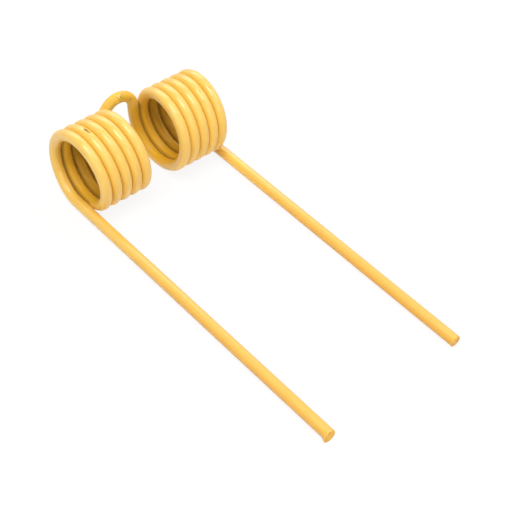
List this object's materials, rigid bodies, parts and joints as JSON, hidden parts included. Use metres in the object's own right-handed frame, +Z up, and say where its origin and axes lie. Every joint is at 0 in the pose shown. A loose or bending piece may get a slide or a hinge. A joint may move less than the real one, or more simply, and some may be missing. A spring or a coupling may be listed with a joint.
{
  "type": "baler pick-up tine",
  "caption": "Double spring tine bent from one round wire: two close-wound coils side by side, a centre loop between them and a straight finger from each.",
  "frame": {"origin": "on the common axis of the two coils, midway between them", "axes": "+X along the coils' axis, from the coil whose leg has the larger cropped lip to the other; -Y along the legs; +Z up, with the tine lying on its coils and legs"},
  "size_m": [0.0828, 0.1935, 0.0425],
  "materials": {
    "yellow_paint": "semi-gloss yellow enamel over spring steel"
  },
  "bodies": {
    "root": {"spring_tine": "yellow_paint"}
  },
  "joints": []
}
